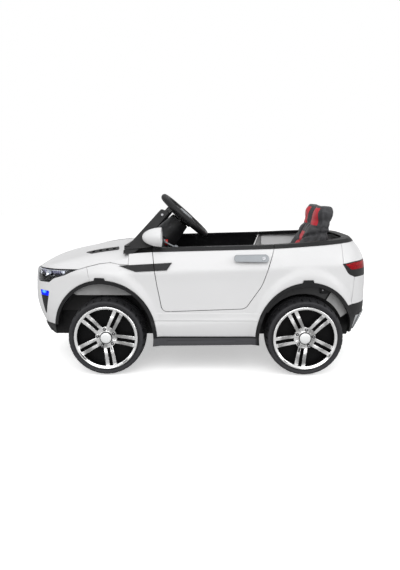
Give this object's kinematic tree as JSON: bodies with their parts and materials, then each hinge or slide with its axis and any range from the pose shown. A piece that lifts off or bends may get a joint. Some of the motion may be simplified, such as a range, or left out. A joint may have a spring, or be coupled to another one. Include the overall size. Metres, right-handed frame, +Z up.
{
  "type": "electric ride-on car",
  "caption": "Child's battery ride-on car with moulded body, opening doors, padded seat, working steering, spinning chromed wheels, mirrors and open windscreen frame.",
  "frame": {"origin": "on the floor under the middle of the car", "axes": "+X to the tail, +Y to the car's right, +Z up; the nose points along -X"},
  "size_m": [1.09, 0.602, 0.5483],
  "materials": {
    "white_body": "glossy moulded white",
    "black_trim": "satin black",
    "grey_liner": "matt grey",
    "lamp_blue": "lit blue-white lens",
    "clear_lens": "clear",
    "red_lens": "clear red lens",
    "silver_plastic": "silver paint",
    "mirror_glass": "polished",
    "steel": "zinc plated",
    "red_button": "glossy red",
    "black_leather": "grained leatherette, red panels",
    "dark_plastic": "matt dark grey",
    "tyre": "moulded tyre, dull",
    "wheel_black": "glossy black",
    "chrome": "chromed plastic"
  },
  "bodies": {
    "car_body": {"arch_liners": "grey_liner", "battery": "dark_plastic", "belt_rails": "black_trim", "body_vents": "black_trim", "bonnet": "white_body", "chassis_tub": "black_trim", "corner_lamp_lenses": "lamp_blue", "dashboard": "black_trim", "drive_units": "dark_plastic", "front_axle_beam": "steel", "front_bumper": "white_body", "front_grille": "black_trim", "front_lip": "black_trim", "headlight_lenses": "clear_lens", "hinge_rods": "steel", "lamp_housings": "black_trim", "mirror_glasses": "mirror_glass", "mirror_housings": "white_body", "rear_axle": "steel", "rear_bumper": "black_trim", "seat_back_pad": "black_leather", "seat_cushion": "black_leather", "seat_shell": "black_trim", "side_cladding": "black_trim", "side_panel_left": "white_body", "side_panel_right": "white_body", "skid_plates": "silver_plastic", "tail_light_lenses": "red_lens", "tail_panel": "white_body", "windscreen_frame": "black_trim", "windscreen_pane": "clear_lens"},
    "door_left": {"door_skin_left": "white_body", "door_inner_left": "black_trim", "door_handle_left": "silver_plastic"},
    "door_right": {"door_skin_right": "white_body", "door_inner_right": "black_trim", "door_handle_right": "silver_plastic"},
    "bolt_left": {"door_bolt_left": "dark_plastic"},
    "bolt_right": {"door_bolt_right": "dark_plastic"},
    "steering": {"steering_wheel": "black_trim", "steering_column": "steel"},
    "horn": {"horn_pad": "silver_plastic"},
    "knuckle_left": {"knuckle_left": "steel"},
    "knuckle_right": {"knuckle_right": "steel"},
    "tie_rod": {"tie_rod": "steel"},
    "pedal": {"accelerator_pedal": "black_trim"},
    "lever": {"shift_lever": "silver_plastic"},
    "button": {"start_button": "red_button"},
    "wheel_front_left": {"tyre_front_left": "tyre", "wheel_body_front_left": "wheel_black", "wheel_cover_front_left": "chrome"},
    "wheel_front_right": {"tyre_front_right": "tyre", "wheel_body_front_right": "wheel_black", "wheel_cover_front_right": "chrome"},
    "wheel_rear_left": {"tyre_rear_left": "tyre", "wheel_body_rear_left": "wheel_black", "wheel_cover_rear_left": "chrome"},
    "wheel_rear_right": {"tyre_rear_right": "tyre", "wheel_body_rear_right": "wheel_black", "wheel_cover_rear_right": "chrome"}
  },
  "joints": [
    {"name": "door_left_hinge", "type": "hinge", "parent": "car_body", "child": "door_left", "pos_m": [-0.086, -0.275, 0.28], "axis": [0, 0, -1], "range_deg": [0, 60]},
    {"name": "door_right_hinge", "type": "hinge", "parent": "car_body", "child": "door_right", "pos_m": [-0.086, 0.275, 0.28], "axis": [0, 0, 1], "range_deg": [0, 60]},
    {"name": "bolt_left_slide", "type": "slide", "parent": "door_left", "child": "bolt_left", "axis": [1, 0, 0], "range_m": [0, 0.008]},
    {"name": "bolt_right_slide", "type": "slide", "parent": "door_right", "child": "bolt_right", "axis": [1, 0, 0], "range_m": [0, 0.008]},
    {"name": "steering_turn", "type": "hinge", "parent": "car_body", "child": "steering", "pos_m": [-0.052, 0, 0.475], "axis": [0.6704, 0, 0.742], "range_deg": [-33, 33]},
    {"name": "horn_press", "type": "slide", "parent": "steering", "child": "horn", "axis": [-0.6704, 0, -0.742], "range_m": [0, 0.003], "stiffness_N_per_m": 400},
    {"name": "knuckle_left_turn", "type": "hinge", "parent": "car_body", "child": "knuckle_left", "pos_m": [-0.283, -0.185, 0.119], "axis": [0, 0, 1], "range_deg": [-20.2, 20.2]},
    {"name": "knuckle_right_turn", "type": "hinge", "parent": "car_body", "child": "knuckle_right", "pos_m": [-0.283, 0.185, 0.119], "axis": [0, 0, 1], "range_deg": [-20.2, 20.2]},
    {"name": "tie_rod_slide", "type": "slide", "parent": "car_body", "child": "tie_rod", "axis": [0, 1, 0], "range_m": [-0.0195, 0.0195]},
    {"name": "wheel_front_left_spin", "type": "hinge", "parent": "knuckle_left", "child": "wheel_front_left", "pos_m": [-0.283, -0.24, 0.119], "axis": [0, 1, 0], "continuous": true},
    {"name": "wheel_front_right_spin", "type": "hinge", "parent": "knuckle_right", "child": "wheel_front_right", "pos_m": [-0.283, 0.24, 0.119], "axis": [0, 1, 0], "continuous": true},
    {"name": "wheel_rear_left_spin", "type": "hinge", "parent": "car_body", "child": "wheel_rear_left", "pos_m": [0.323, -0.24, 0.119], "axis": [0, 1, 0], "continuous": true},
    {"name": "wheel_rear_right_spin", "type": "hinge", "parent": "car_body", "child": "wheel_rear_right", "pos_m": [0.323, 0.24, 0.119], "axis": [0, 1, 0], "continuous": true},
    {"name": "pedal_press", "type": "hinge", "parent": "car_body", "child": "pedal", "pos_m": [-0.066, 0.075, 0.1035], "axis": [0, -1, 0], "range_deg": [0, 10], "stiffness_Nm_per_rad": 0.6},
    {"name": "lever_shift", "type": "hinge", "parent": "car_body", "child": "lever", "pos_m": [-0.12, -0.1, 0.396], "axis": [0, 1, 0], "range_deg": [-12, 12]},
    {"name": "button_press", "type": "slide", "parent": "car_body", "child": "button", "axis": [-1, 0, 0], "range_m": [0, 0.003], "stiffness_N_per_m": 400}
  ],
  "couplings": [
    {"joint": "knuckle_left_turn", "follows": "steering_turn", "ratio": 0.606},
    {"joint": "knuckle_right_turn", "follows": "steering_turn", "ratio": 0.606},
    {"joint": "tie_rod_slide", "follows": "steering_turn", "m_per_rad": -0.03333}
  ]
}
